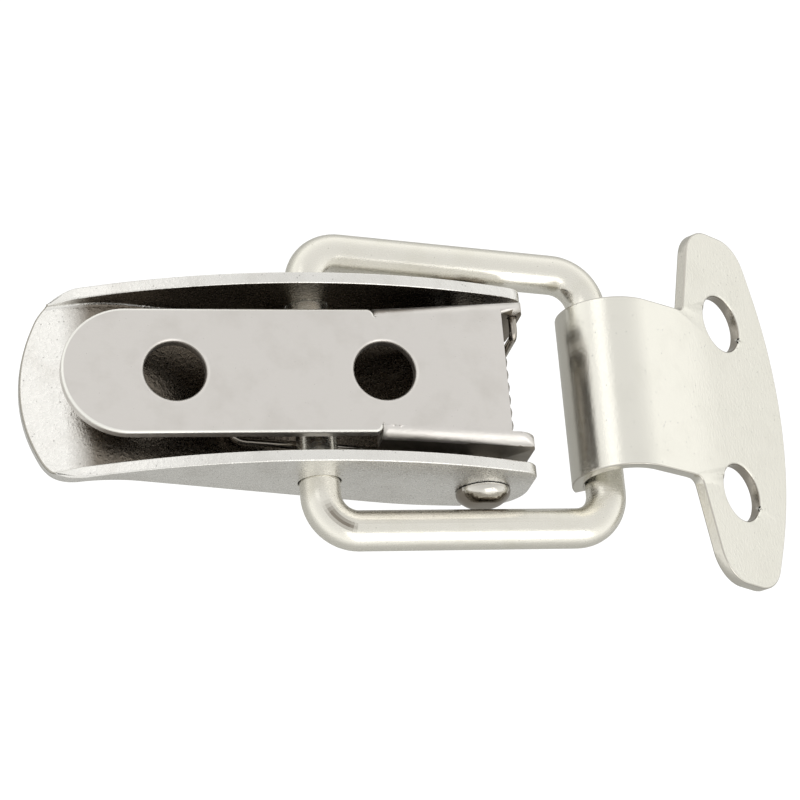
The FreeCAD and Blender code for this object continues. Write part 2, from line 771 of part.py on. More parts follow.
def make_torsion_spring():
    """Coil about the rivet, a tail hooked into one ear and an arm under the bail's turned-in end."""
    radius = size("coil_radius").value
    wire = size("spring_wire").value / 2
    room = ear_outside(pivot_x).value - size("base_sheet").value - wire
    start_y = room - size("tail_side_gap").value
    end_y = size("arm_side_gap").value - room
    reach = Vector(bail_x.value - pivot_x.value, 0, bail_z.value - pivot_z.value)
    bearing = size("bail_wire").value / 2 + wire + size("arm_gap").value
    rise = math.atan2(reach.z, -reach.x) + math.asin((radius - bearing) / reach.Length)
    along = Vector(-math.cos(rise), 0, math.sin(rise))

    # the wire starts level with its tail, then winds in half turns that lean to and fro
    tail_start = Vector(radius, start_y, 0)
    section = Part.Face(Part.Wire(Part.Circle(tail_start, Vector(0, 0, -1), wire).toShape()))
    level = 90 + math.degrees(rise)
    axle = Vector(0, start_y, 0)
    turns = [section.revolve(axle, Vector(0, 1, 0), level)]
    section = section.rotated(axle, Vector(0, 1, 0), level)
    here = Vector(-radius * math.sin(rise), start_y, -radius * math.cos(rise))
    heading = along
    half_turns = round(size("coil_turns").value * 2)
    step = Vector(0, (end_y - start_y) / half_turns, 0)
    for _ in range(half_turns):
        there = Vector(-here.x, here.y, -here.z) + step
        centre = (here + there) / 2
        lean = (here - centre).cross(heading)
        turns.append(section.revolve(centre, lean, 180))
        section = section.rotated(centre, lean, 180)
        here = there
        heading = -heading

    tail_z = -pivot_z.value - size("tail_depth").value
    outside = ear_outside(spring_hole_x).value + size("tail_projection").value
    tail = wire_run(
        end_face(turns[0], tail_start),
        [tail_start, Vector(radius, start_y, tail_z), Vector(radius, outside, tail_z)],
        [size("tail_bend").value],
    )

    arm_length = (here.x + pivot_x.value + size("arm_reach").value) / math.cos(rise)
    arm_corner = here + along * arm_length
    arm_end = arm_corner + Vector(0, size("arm_hook").value, 0)
    arm = wire_run(
        end_face(turns[-1], here),
        [here, arm_corner, arm_end],
        [size("arm_bend").value],
    )

    feature = doc.addObject("Part::Feature", "torsion_spring")
    feature.Label = "torsion_spring"
    feature.Shape = turns[0].multiFuse(turns[1:] + tail + arm).Solids[0]
    feature.Placement = FreeCAD.Placement(Vector(pivot_x.value, 0, pivot_z.value), Rotation())
    return feature


pieces = [
    make_base_plate(),
    make_pivot_rivet(),
    make_lever(),
    make_bail(),
    make_strike_plate(),
    make_torsion_spring(),
]
doc.recompute()

for item in doc.Objects:
    if "Invalid" in item.State or "Error" in item.State:
        raise RuntimeError("%s failed: %s" % (item.Name, item.State))

for piece in pieces:
    shape = piece.Shape
    if shape.isNull() or not shape.isValid() or len(shape.Solids) != 1:
        raise RuntimeError("%s is not one valid solid" % piece.Label)
    print("%-15s volume %9.3f" % (piece.Label, shape.Volume))

os.makedirs("parts", exist_ok=True)
for piece in pieces:
    piece.Shape.exportStep("parts/%s.step" % piece.Label)
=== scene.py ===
"""Over centre toggle latch: stamped sheet lever and base, bent wire bail and a curled strike."""

from __future__ import annotations

import logging
import math
from collections.abc import Callable
from dataclasses import dataclass, field
from enum import Enum

import bmesh
import bpy
from mathutils import Euler, Matrix, Vector
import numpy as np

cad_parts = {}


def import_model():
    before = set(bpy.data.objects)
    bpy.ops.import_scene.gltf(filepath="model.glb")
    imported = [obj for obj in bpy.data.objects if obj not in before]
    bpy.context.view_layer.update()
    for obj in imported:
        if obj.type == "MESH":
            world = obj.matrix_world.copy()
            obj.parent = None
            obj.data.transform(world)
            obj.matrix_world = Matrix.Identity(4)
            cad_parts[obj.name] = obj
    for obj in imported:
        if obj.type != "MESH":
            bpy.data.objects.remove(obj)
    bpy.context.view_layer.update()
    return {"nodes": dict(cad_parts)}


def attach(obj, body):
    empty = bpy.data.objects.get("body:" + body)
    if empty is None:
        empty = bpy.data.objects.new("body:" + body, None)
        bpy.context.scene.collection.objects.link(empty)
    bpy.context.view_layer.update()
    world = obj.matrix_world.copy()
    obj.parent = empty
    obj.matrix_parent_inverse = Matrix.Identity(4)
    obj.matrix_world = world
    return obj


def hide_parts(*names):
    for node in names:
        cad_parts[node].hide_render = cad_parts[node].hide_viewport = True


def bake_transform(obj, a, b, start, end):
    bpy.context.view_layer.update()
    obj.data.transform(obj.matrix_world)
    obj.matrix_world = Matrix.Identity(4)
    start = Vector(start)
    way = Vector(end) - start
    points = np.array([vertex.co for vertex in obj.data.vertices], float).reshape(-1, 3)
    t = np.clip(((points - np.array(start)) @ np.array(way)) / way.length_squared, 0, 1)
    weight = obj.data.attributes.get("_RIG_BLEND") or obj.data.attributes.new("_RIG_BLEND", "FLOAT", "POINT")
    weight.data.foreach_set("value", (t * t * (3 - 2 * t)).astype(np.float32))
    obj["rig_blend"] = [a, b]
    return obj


log = logging.getLogger("toggle_latch")
logging.basicConfig(level=logging.INFO, format="%(message)s")

MM = 0.001
ACROSS = Vector((0.0, 1.0, 0.0))

# the face layers that the materials and the shading modifier read
ROLLED_MARK = "rolled"
# faces marked for painted shade
PAINTED_SHADE_MARK = "paint_shade"
FACE_STRENGTH = "__mod_weightednormals_faceweight"
WEAK_FACE = -16384

WELD_DISTANCE = 0.003 * MM
FLAT_ANGLE = math.radians(0.4)
SHARP_ANGLE = math.radians(32.0)
CREASE_ANGLE = math.radians(50.0)

Tone = tuple[float, float, float]
WHITE = (1.0, 1.0, 1.0, 1.0)

# a spot a metre off, for a finish with no painted light spot
NOWHERE = (0.0, 0.0, 1.0)


class Body(Enum):
    """The rigid bodies that the pieces ride on."""

    BASE = "base"
    LEVER = "lever"
    BAIL = "bail"
    STRIKE = "strike"


class Grain(Enum):
    """How the steel's surface was worked."""

    ROLLED = "rolled sheet"
    TUMBLED = "tumbled sheet"
    DRAWN = "drawn wire"


# the grain's size is divided by this along X, so that it runs along the sheet or the wire
GRAIN_STRETCH = {Grain.ROLLED: 0.45, Grain.DRAWN: 0.22}


def unit(value: float) -> float:
    """Keep a value between 0 and 1.

    Args:
        value: Any value.

    Returns:
        The value, cut at 0 and 1.
    """
    return max(0.0, min(1.0, value))


# materials


@dataclass
class Graph:
    """A node tree in which each node is added, set and wired in one call."""

    tree: bpy.types.NodeTree

    def add(self, kind: str, inputs: dict[str | int, object] | None = None, **settings: object) -> bpy.types.Node:
        """Add a node.

        Args:
            kind: The node's type.
            inputs: For an input's name or number, the value or the output that it gets.
            **settings: The node's own settings.

        Returns:
            The node.
        """
        node = self.tree.nodes.new(kind)
        for name, value in settings.items():
            setattr(node, name, value)
        for key, value in (inputs or {}).items():
            if isinstance(value, bpy.types.NodeSocket):
                self.tree.links.new(value, node.inputs[key])
            else:
                node.inputs[key].default_value = value
        return node

    def join(self, output: bpy.types.NodeSocket, node: str, socket: str) -> None:
        """Wire an output into a node that the tree came with.

        Args:
            output: The output.
            node: The node's name.
            socket: The name of the node's input.
        """
        self.tree.links.new(output, self.tree.nodes[node].inputs[socket])

    def mix(self, factor: bpy.types.NodeSocket, first: object, second: object) -> bpy.types.NodeSocket:
        """Mix two colours.

        Args:
            factor: The share of the second one.
            first: The colour at 0.
            second: The colour at 1.

        Returns:
            The mixed colour.
        """
        inputs = {"Factor": factor, "A": first, "B": second}
        return self.add("ShaderNodeMix", inputs, data_type="RGBA").outputs["Result"]

    def blend_shaders(
        self, factor: bpy.types.NodeSocket, first: bpy.types.NodeSocket, second: bpy.types.NodeSocket
    ) -> bpy.types.NodeSocket:
        """Mix two shaders.

        Args:
            factor: The share of the second one.
            first: The shader at 0.
            second: The shader at 1.

        Returns:
            The mixed shader.
        """
        return self.add("ShaderNodeMixShader", {"Fac": factor, 1: first, 2: second}).outputs["Shader"]

    def remap(
        self, value: bpy.types.NodeSocket, span: tuple[float, float], into: tuple[float, float] = (0.0, 1.0)
    ) -> bpy.types.NodeSocket:
        """Spread a span of values over another one.

        Args:
            value: The value.
            span: The two ends that it is read between.
            into: What the two ends become.

        Returns:
            The new value.
        """
        ends = {"From Min": span[0], "From Max": span[1], "To Min": into[0], "To Max": into[1]}
        return self.add("ShaderNodeMapRange", {"Value": value, **ends}).outputs["Result"]

    def noise(
        self, place: bpy.types.NodeSocket, size: float, detail: float, roughness: float
    ) -> bpy.types.NodeSocket:
        """Make a cloudy pattern.

        Args:
            place: The coordinates.
            size: The size of its largest clouds in metres.
            detail: How many times it is made finer.
            roughness: How strong the finer clouds are.

        Returns:
            The pattern's level.
        """
        inputs = {"Scale": 1.0 / size, "Detail": detail, "Roughness": roughness, "Vector": place}
        return self.add("ShaderNodeTexNoise", inputs).outputs["Fac"]

    def product(self, first: object, second: object) -> bpy.types.NodeSocket:
        """Multiply two values.

        Args:
            first: The first factor.
            second: The second factor.

        Returns:
            Their product.
        """
        return self.add("ShaderNodeMath", {0: first, 1: second}, operation="MULTIPLY").outputs["Value"]


@dataclass(frozen=True)
class SteelFinish:
    """Bare satin steel with mottling, fine grain and pits, a painted edge tone on rolled edges, and painted shade
    with one painted light spot on marked faces.
    """

    name: str
    tone: Tone
    shade: Tone
    roughness: float
    roughness_spread: float = 0.10
    grain: Grain = Grain.ROLLED
    grain_size: float = 0.30 * MM
    grain_depth: float = 0.012 * MM
    gloss_span: tuple[float, float] = (0.30, 0.70)
    pit_size: float = 0.55 * MM
    pit_depth: float = 0.0125 * MM
    pit_share: float = 0.10
    pit_darkness: float = 0.45
    mottle_size: float = 3.2 * MM
    mottle_span: tuple[float, float] = (0.30, 0.52)
    # the colour painted on rolled edges: a painted highlight where it is lighter than the sheet, painted shade
    # where it is darker
    edge_tone: Tone = (0.90, 0.89, 0.85)
    # painted shade on the marked faces: its colour, and its ramp along X
    painted_shade_tone: Tone = (0.22, 0.19, 0.155)
    shade_half_length: float = 20.0 * MM
    shade_along: tuple[tuple[float, float], ...] = ((0.0, 1.0),)
    # one spot of painted light, round which the painted shade thins out
    lit_spot: tuple[float, float, float] = NOWHERE
    lit_spot_reach: tuple[float, float] = (0.76 * MM, 3.8 * MM)
    lit_spot_rest: float = 0.3

    def material(self) -> bpy.types.Material:
        """Build the finish as a node material on Object coordinates.

        Returns:
            The material, ready to go into a piece's slot.
        """
        steel = bpy.data.materials.new(self.name)
        steel.use_nodes = True
        shader = steel.node_tree.nodes["Principled BSDF"]
        shader.inputs["Metallic"].default_value = 1.0
        shader.inputs["Specular IOR Level"].default_value = 0.5

        graph = Graph(steel.node_tree)
        place = graph.add("ShaderNodeTexCoord").outputs["Object"]
        grain = self.grain_pattern(graph, place)
        cells = {"Scale": 1.0 / self.pit_size, "Randomness": 1.0, "Vector": place}
        pits = graph.add("ShaderNodeTexVoronoi", cells)
        off_pits = graph.remap(pits.outputs["Distance"], (0.0, self.pit_share))

        high = self.roughness + self.roughness_spread / 2
        low = self.roughness - self.roughness_spread / 2
        graph.join(self.paint_shade(graph, place, self.surface(graph, place, off_pits)), shader.name, "Base Color")
        graph.join(graph.remap(grain, self.gloss_span, (high, low)), shader.name, "Roughness")

        grained = graph.add("ShaderNodeBump", {"Distance": self.grain_depth, "Strength": 1.0, "Height": grain})
        pitted = graph.add(
            "ShaderNodeBump",
            {
                "Distance": self.pit_depth,
                "Strength": 1.0,
                "Height": off_pits,
                "Normal": grained.outputs["Normal"],
            },
        )
        graph.join(pitted.outputs["Normal"], shader.name, "Normal")
        return steel

    def grain_pattern(self, graph: Graph, place: bpy.types.NodeSocket) -> bpy.types.NodeSocket:
        """Make the grain, which is drawn out along X on rolled and drawn steel.

        Args:
            graph: The material's graph.
            place: The Object coordinates.

        Returns:
            The grain's height.
        """
        if self.grain in GRAIN_STRETCH:
            stretch = (GRAIN_STRETCH[self.grain], 1.0, 1.0)
            place = graph.add("ShaderNodeMapping", {"Scale": stretch, "Vector": place}).outputs["Vector"]
        return graph.noise(place, self.grain_size, detail=3.0, roughness=0.7)

    def surface(
        self, graph: Graph, place: bpy.types.NodeSocket, off_pits: bpy.types.NodeSocket
    ) -> bpy.types.NodeSocket:
        """Colour the open surface, its pits, and its rolled edges in the painted edge tone.

        Args:
            graph: The material's graph.
            place: The Object coordinates.
            off_pits: 0 in the middle of a pit and 1 outside it.

        Returns:
            The colour.
        """
        mottle = graph.remap(graph.noise(place, self.mottle_size, detail=4.0, roughness=0.6), self.mottle_span)
        mottled = graph.mix(mottle, (*self.shade, 1.0), (*self.tone, 1.0))
        pitted = graph.mix(off_pits, (*(self.pit_darkness * level for level in self.shade), 1.0), mottled)
        # rolled edges get the painted edge tone: a painted highlight on the base and the rivet, painted shade on
        # the lever's lip and the strike
        rolled = graph.add("ShaderNodeAttribute", attribute_name=ROLLED_MARK).outputs["Fac"]
        return graph.mix(rolled, pitted, (*self.edge_tone, 1.0))

    def paint_shade(
        self, graph: Graph, place: bpy.types.NodeSocket, tone: bpy.types.NodeSocket
    ) -> bpy.types.NodeSocket:
        """Paint shade on the marked faces, apart from one spot that a painted light keeps paler.

        Args:
            graph: The material's graph.
            place: The Object coordinates.
            tone: The open surface's colour.

        Returns:
            The colour with the marked faces darkened.
        """
        length = 2.0 * self.shade_half_length
        along = graph.add("ShaderNodeSeparateXYZ", {"Vector": place}).outputs["X"]
        along = graph.remap(along, (-self.shade_half_length, self.shade_half_length))
        deep = graph.add("ShaderNodeValToRGB", {"Fac": along})
        stops = deep.color_ramp.elements
        stops.remove(stops[0])
        for at, (x, level) in enumerate(self.shade_along):
            stop = stops[0] if at == 0 else stops.new(x * MM / length + 0.5)
            stop.position = x * MM / length + 0.5
            stop.color = (level, level, level, 1.0)
        # painted light: the painted shade thins out round one spot
        away = graph.add("ShaderNodeVectorMath", {0: place, 1: self.lit_spot}, operation="DISTANCE")
        lit_share = graph.remap(away.outputs["Value"], self.lit_spot_reach, (self.lit_spot_rest, 1.0))
        mark = graph.add("ShaderNodeAttribute", attribute_name=PAINTED_SHADE_MARK).outputs["Fac"]
        share = graph.product(mark, graph.product(lit_share, deep.outputs["Color"]))
        return graph.mix(share, tone, (*self.painted_shade_tone, 1.0))


BASE_FACE = SteelFinish(
    "base_satin",
    tone=(0.725, 0.70, 0.675),
    shade=(0.67, 0.645, 0.615),
    roughness=0.42,
    pit_share=0.06,
)
LEVER_FACE = SteelFinish(
    "lever_tumbled",
    tone=(0.825, 0.815, 0.79),
    shade=(0.74, 0.725, 0.695),
    roughness=0.28,
    grain=Grain.TUMBLED,
    grain_depth=0.046 * MM,
    pit_share=0.14,
    # painted shade on the lip's rolled edges
    edge_tone=(0.42, 0.40, 0.36),
    # painted shade in the channel, deepening inwards from the lip, and a painted light patch on the channel floor
    # seen through the hole
    shade_along=((-15.4, 0.0), (-14.2, 0.5), (-13.3, 0.95), (-10.0, 0.98), (-3.0, 1.0)),
    lit_spot=(-6.0 * MM, 5.6 * MM, -8.4 * MM),
)
STRIKE_FACE = SteelFinish(
    "strike_satin",
    tone=(0.85, 0.835, 0.77),
    shade=(0.82, 0.805, 0.74),
    roughness=0.22,
    grain=Grain.TUMBLED,
    grain_size=0.24 * MM,
    grain_depth=0.016 * MM,
    # painted shade on the rolled edges
    edge_tone=(0.62, 0.60, 0.55),
)
BAIL_WIRE = SteelFinish(
    "bail_polished",
    tone=(0.83, 0.81, 0.745),
    shade=(0.79, 0.77, 0.695),
    roughness=0.26,
    grain=Grain.DRAWN,
    grain_depth=0.010 * MM,
)
RIVET_FACE = SteelFinish(
    "rivet_polished",
    tone=(0.69, 0.67, 0.625),
    shade=(0.63, 0.61, 0.565),
    roughness=0.18,
    grain_depth=0.006 * MM,
)
SPRING_WIRE = SteelFinish(
    "spring_drawn",
    tone=(0.42, 0.39, 0.35),
    shade=(0.34, 0.31, 0.27),
    roughness=0.22,
    grain=Grain.DRAWN,
    grain_depth=0.004 * MM,
)


# shared ways of making a piece


def as_object(name: str, shape: bmesh.types.BMesh, material: bpy.types.Material) -> bpy.types.Object:
    """Put a shape into the scene with smooth shading.

    Args:
        name: The object's name.
        shape: The finished shape in metres.
        material: The material that it wears.

    Returns:
        The new object.
    """
    mesh = bpy.data.meshes.new(name)
    shape.to_mesh(mesh)
    shape.free()
    mesh.materials.append(material)
    mesh.shade_smooth()
    made = bpy.data.objects.new(name, mesh)
    bpy.context.scene.collection.objects.link(made)
    return made


def as_piece(name: str, shape: bmesh.types.BMesh, finish: SteelFinish, body: Body, node: str) -> bpy.types.Object:
    """Turn a shape into a piece that rides on a body in place of a CAD node.

    Args:
        name: The piece's name.
        shape: The finished shape in metres, in the latch's own frame.
        finish: The steel finish that it wears.
        body: The body that it moves with.
        node: The CAD node that it stands for, which is hidden.

    Returns:
        The new object.
    """
    piece = as_object(name, shape, finish.material())
    piece.data.set_sharp_from_angle(angle=CREASE_ANGLE)
    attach(piece, body.value)
    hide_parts(node)
    return piece


def even_shading(piece: bpy.types.Object) -> None:
    """Let the faces beside a rolled edge set its normals, so that flats stay flat up to it.

    Args:
        piece: The object that gets the modifier.
    """
    weigh = piece.modifiers.new("even_shading", "WEIGHTED_NORMAL")
    weigh.mode = "FACE_AREA_WITH_ANGLE"
    weigh.weight = 100
    weigh.keep_sharp = True
    weigh.use_face_influence = True


def mark_painted_shade(piece: bpy.types.Object, share: Callable[[bpy.types.MeshPolygon], float]) -> None:
    """Mark the faces that get painted shade: the folds' insides, the bores and the sheared edges.

    Args:
        piece: The object whose faces are marked.
        share: How dark a face is, from 0 to 1.
    """
    marks = piece.data.attributes.new(PAINTED_SHADE_MARK, "FLOAT", "FACE")
    for face in piece.data.polygons:
        marks.data[face.index].value = share(face)


def rolled_sheet(
    node: bpy.types.Object,
    *passes: tuple[float, Callable[[bmesh.types.BMEdge], bool]],
    edge_tone_to: float = math.inf,
) -> bmesh.types.BMesh:
    """Copy a CAD node, join its facets and roll its sharp edges.

    Args:
        node: The CAD node's object.
        *passes: For each pass, how far the rolled edge reaches in metres and which sharp edges it rolls.
        edge_tone_to: The X in metres up to which the rolled edges show the painted edge tone.

    Returns:
        The rolled shape.
    """
    shape = bmesh.new()
    shape.from_mesh(node.data)
    bmesh.ops.remove_doubles(shape, verts=shape.verts, dist=WELD_DISTANCE)
    bmesh.ops.dissolve_limit(shape, angle_limit=FLAT_ANGLE, verts=shape.verts, edges=shape.edges, delimit=set())
    layers = shape.faces.layers
    layers.float.new(ROLLED_MARK)
    layers.int.new(FACE_STRENGTH)
    marks, strengths = layers.float[ROLLED_MARK], layers.int[FACE_STRENGTH]
    for radius, wanted in passes:
        sharp = [
            edge
            for edge in shape.edges
            if len(edge.link_faces) == 2 and edge.calc_face_angle(0.0) > SHARP_ANGLE and wanted(edge)
        ]
        for face in bevelled(shape, sharp, radius, segments=3):
            face[strengths] = WEAK_FACE
            face[marks] = 1.0 if face.calc_center_median().x < edge_tone_to else 0.0
    many_sided = [face for face in shape.faces if len(face.verts) > 4]
    bmesh.ops.triangulate(shape, faces=many_sided, quad_method="BEAUTY", ngon_method="BEAUTY")
    return shape


def bevelled(
    shape: bmesh.types.BMesh, edges: list[bmesh.types.BMEdge], radius: float, segments: int
) -> list[bmesh.types.BMFace]:
    """Roll some edges of a shape.

    Args:
        shape: The shape.
        edges: Its edges that are rolled.
        radius: How far the rolled edge reaches on each side.
        segments: How many facets go round it.

    Returns:
        The faces of the rolled edges.
    """
    return bmesh.ops.bevel(
        shape,
        geom=edges,
        offset=radius,
        offset_type="OFFSET",
        segments=segments,
        profile=0.5,
        affect="EDGES",
        clamp_overlap=False,
        material=-1,
    )["faces"]


def every_edge(edge: bmesh.types.BMEdge) -> bool:
    """Choose all sharp edges.

    Args:
        edge: A sharp edge.

    Returns:
        True.
    """
    return True


@dataclass
class WireBender:
    """Round wire carried along straight runs and bends, as it is made from stock."""

    radius: float
    facets: int = 32
    shape: bmesh.types.BMesh = field(default_factory=bmesh.new)
    ring: list = field(default_factory=list)
    here: Vector = field(default_factory=Vector)

    def start(self, point: Vector, direction: Vector) -> None:
        """Set the wire's first end.

        Args:
            point: The centre of the end.
            direction: The way that the wire leaves it.
        """
        turn = Vector((0.0, 0.0, 1.0)).rotation_difference(direction)
        made = bmesh.ops.create_circle(
            self.shape,
            cap_ends=False,
            segments=self.facets,
            radius=self.radius,
            matrix=Matrix.Translation(point) @ turn.to_matrix().to_4x4(),
        )
        self.ring = list({edge for vert in made["verts"] for edge in vert.link_edges})
        self.here = point.copy()

    def run(self, end: Vector, parts: int = 1) -> None:
        """Carry the wire straight to a point.

        Args:
            end: Where the run ends.
            parts: How many lengths the run is cut into.
        """
        step = (end - self.here) / parts
        for _ in range(parts):
            made = bmesh.ops.extrude_edge_only(self.shape, edges=self.ring)["geom"]
            verts = {item for item in made if isinstance(item, bmesh.types.BMVert)}
            edges = [item for item in made if isinstance(item, bmesh.types.BMEdge)]
            bmesh.ops.translate(self.shape, verts=list(verts), vec=step)
            self.ring = [edge for edge in edges if all(vert in verts for vert in edge.verts)]
        self.here = end.copy()

    def turn(self, centre: Vector, axis: Vector, angle: float, steps: int) -> None:
        """Bend the wire round an axis.

        Args:
            centre: A point on the bend's axis.
            axis: The bend's axis.
            angle: The angle turned through, in radians.
            steps: How many facets the bend has.
        """
        verts = list({vert for edge in self.ring for vert in edge.verts})
        last = bmesh.ops.spin(
            self.shape,
            geom=self.ring + verts,
            cent=centre,
            axis=axis,
            angle=angle,
            steps=steps,
            use_merge=False,
            use_duplicate=False,
        )["geom_last"]
        self.ring = [item for item in last if isinstance(item, bmesh.types.BMEdge)]
        self.here = centre + Matrix.Rotation(angle, 3, axis) @ (self.here - centre)

    def follow(self, points: list[Vector], radii: list[float], steps: int, parts: int = 1) -> None:
        """Carry the wire from where it is through corners that are bent round.

        Args:
            points: The corners and the last point.
            radii: The bend radius at each corner.
            steps: The facets of a bend.
            parts: The lengths of a straight run.
        """
        for corner, after, radius in zip(points, points[1:], radii):
            back = (self.here - corner).normalized()
            ahead = (after - corner).normalized()
            half = back.angle(ahead) / 2.0
            entry = corner + back * (radius / math.tan(half))
            centre = corner + (back + ahead).normalized() * (radius / math.sin(half))
            axis = (-back).cross(ahead).normalized()
            self.run(entry, parts)
            self.turn(centre, axis, math.pi - 2.0 * half, steps)
        self.run(points[-1], parts)

    def finish(self, end_radius: float) -> bmesh.types.BMesh:
        """Close both ends with a rolled edge.

        Args:
            end_radius: The size of the rolled edge on each end.

        Returns:
            The wire as a closed shape.
        """
        open_edges = [edge for edge in self.shape.edges if len(edge.link_faces) == 1]
        bmesh.ops.holes_fill(self.shape, edges=open_edges, sides=0)
        bmesh.ops.recalc_face_normals(self.shape, faces=self.shape.faces)
        caps = [face for face in self.shape.faces if len(face.verts) > 4]
        bevelled(self.shape, list({edge for face in caps for edge in face.edges}), end_radius, segments=2)
        return self.shape


# sub-assemblies


@dataclass
class BasePlate:
    """The folded base with its two ears, and the rivet through them."""

    hole_place: float = 7.7 * MM
    hole_radius: float = 2.4 * MM
    edge_radius: float = 0.20 * MM
    ear_edge: float = 0.05 * MM
    rivet_edge: float = 0.05 * MM
    web_top: float = -0.01 * MM
    web_bottom: float = -1.36 * MM
    ear_top: float = -0.85 * MM
    ear_edge_top: float = -2.55 * MM
    fold_start: float = 7.25 * MM
    fold_end: float = 7.85 * MM
    rivet_seat: float = 7.4 * MM
    # shares of painted shade on the ears' outer sides, the bores and the rivet heads
    ear_shade: float = 0.85
    bore_shade: float = 0.6
    head_shade: float = 0.9

    def build(self, nodes: dict[str, bpy.types.Object]) -> list[bpy.types.Object]:
        """Make the plate and the rivet.

        Args:
            nodes: The CAD nodes by name.

        Returns:
            The new pieces.
        """
        rolled = rolled_sheet(nodes["base_plate"], (self.edge_radius, self.on_web), (self.ear_edge, self.on_ears))
        plate = as_piece("base_sheet", rolled, BASE_FACE, Body.BASE, "base_plate")
        mark_painted_shade(plate, self.shade_share)
        even_shading(plate)
        turned = rolled_sheet(nodes["pivot_rivet"], (self.rivet_edge, every_edge))
        rivet = as_piece("pivot_pin", turned, RIVET_FACE, Body.BASE, "pivot_rivet")
        mark_painted_shade(rivet, self.rivet_shade_share)
        even_shading(rivet)
        return [plate, rivet]

    def on_web(self, edge: bmesh.types.BMEdge) -> bool:
        """Choose the web's outline on its outer side, up to the folds.

        Args:
            edge: A sharp edge.

        Returns:
            Whether it is such an edge.
        """
        return all(vert.co.z > self.web_top and vert.co.x < self.fold_start for vert in edge.verts)

    def on_ears(self, edge: bmesh.types.BMEdge) -> bool:
        """Choose the ears' lower edges, clear of the folds and the web.

        Args:
            edge: A sharp edge.

        Returns:
            Whether it is such an edge.
        """
        return all(vert.co.z < self.ear_edge_top and vert.co.x > self.fold_end for vert in edge.verts)

    def rivet_shade_share(self, face: bpy.types.MeshPolygon) -> float:
        """Paint shade on the lower half of each rivet head, where it turns away from the light.

        Args:
            face: A face of the rivet.

        Returns:
            How dark the face is.
        """
        return self.head_shade if abs(face.center.y) > self.rivet_seat and face.normal.z < 0.5 else 0.0

    def shade_share(self, face: bpy.types.MeshPolygon) -> float:
        """Paint shade on the web's underside, the ears' sides and the bores.

        Args:
            face: A face of the plate.

        Returns:
            How dark the face is.
        """
        if face.normal.z < -0.7 and face.center.z > self.web_bottom:
            return 1.0
        if abs(face.normal.y) > 0.5 and face.center.z < self.ear_top:
            inner_side = face.normal.y * face.center.y < 0.0
            return 1.0 if inner_side else self.ear_shade
        from_hole = math.hypot(abs(face.center.x) - self.hole_place, face.center.y)
        return self.bore_shade if from_hole < self.hole_radius and abs(face.normal.z) < 0.6 else 0.0


@dataclass
class Lever:
    """The channel lever with its thumb lip."""

    edge_radius: float = 0.12 * MM
    lip_outline_end: float = -16.2 * MM
    slit: tuple[float, float] = (14.5 * MM, 15.3 * MM)
    slit_top: float = -8.2 * MM
    slit_side: float = 6.1 * MM
    floor_half_width: float = 6.34 * MM
    cheek_inner_side: float = 6.51 * MM
    # a lighter share of painted shade on the near cheek's inner side
    near_cheek_shade: float = 0.3

    def build(self, nodes: dict[str, bpy.types.Object]) -> list[bpy.types.Object]:
        """Make the lever.

        Args:
            nodes: The CAD nodes by name.

        Returns:
            The new piece in a list.
        """
        pressed = rolled_sheet(nodes["lever"], (self.edge_radius, self.off_slits), edge_tone_to=self.lip_outline_end)
        lever = as_piece("lever_channel", pressed, LEVER_FACE, Body.LEVER, "lever")
        mark_painted_shade(lever, self.shade_share)
        even_shading(lever)
        return [lever]

    def off_slits(self, edge: bmesh.types.BMEdge) -> bool:
        """Choose the edges away from the two short slits at the floor's end, which stay sharp.

        Args:
            edge: A sharp edge.

        Returns:
            Whether it lies elsewhere.
        """
        return not any(
            self.slit[0] < vert.co.x < self.slit[1]
            and abs(vert.co.y) > self.slit_side
            and vert.co.z < self.slit_top
            for vert in edge.verts
        )

    def shade_share(self, face: bpy.types.MeshPolygon) -> float:
        """Paint shade into the channel: the floor's upper side and the cheeks' inner sides.

        Args:
            face: A face of the lever.

        Returns:
            How dark the face is.
        """
        side = abs(face.center.y)
        if face.normal.z > 0.5:
            return 1.0 if side < self.floor_half_width else 0.0
        if side > self.cheek_inner_side or abs(face.normal.y) < 0.7:
            return 0.0
        return self.near_cheek_shade if face.center.y < 0.0 else 1.0


@dataclass
class StrikePlate:
    """The leaf with the tongue that curls round the cross wire."""

    edge_radius: float = 0.10 * MM
    leaf: Vector = field(default_factory=lambda: Vector((36.36, 0.0, -7.587)) * MM)
    tilt: float = math.radians(36.5)
    hole_place: float = 6.95 * MM
    hole_radius: float = 2.4 * MM
    # shares of painted shade on the bores, the sheared edges and the curl
    bore_shade: float = 0.75
    edge_shade: float = 0.28
    curl_shade: float = 0.3

    def build(self, nodes: dict[str, bpy.types.Object]) -> list[bpy.types.Object]:
        """Make the strike.

        Args:
            nodes: The CAD nodes by name.

        Returns:
            The new piece in a list.
        """
        pressed = rolled_sheet(nodes["strike_plate"], (self.edge_radius, every_edge))
        strike = as_piece("strike_leaf", pressed, STRIKE_FACE, Body.STRIKE, "strike_plate")
        mark_painted_shade(strike, self.shade_share)
        even_shading(strike)
        return [strike]

    def shade_share(self, face: bpy.types.MeshPolygon) -> float:
        """Paint shade on the bores, the sheared edges of the leaf and the far side of the curl.

        Args:
            face: A face of the strike.

        Returns:
            How dark the face is.
        """
        out = Vector((math.sin(self.tilt), 0.0, math.cos(self.tilt)))
        along = Vector((math.cos(self.tilt), 0.0, -math.sin(self.tilt)))
        from_leaf = face.center - self.leaf
        flank = abs(face.normal.y) > 0.6
        if not flank and face.normal.x < -0.9:
            return self.curl_shade
        if abs(face.normal.dot(out)) > 0.6 or (from_leaf.dot(along) < -self.hole_place and not flank):
            return 0.0
        from_hole = math.hypot(from_leaf.dot(along), abs(face.center.y) - self.hole_place)
        return self.bore_shade if from_hole < self.hole_radius else self.edge_shade


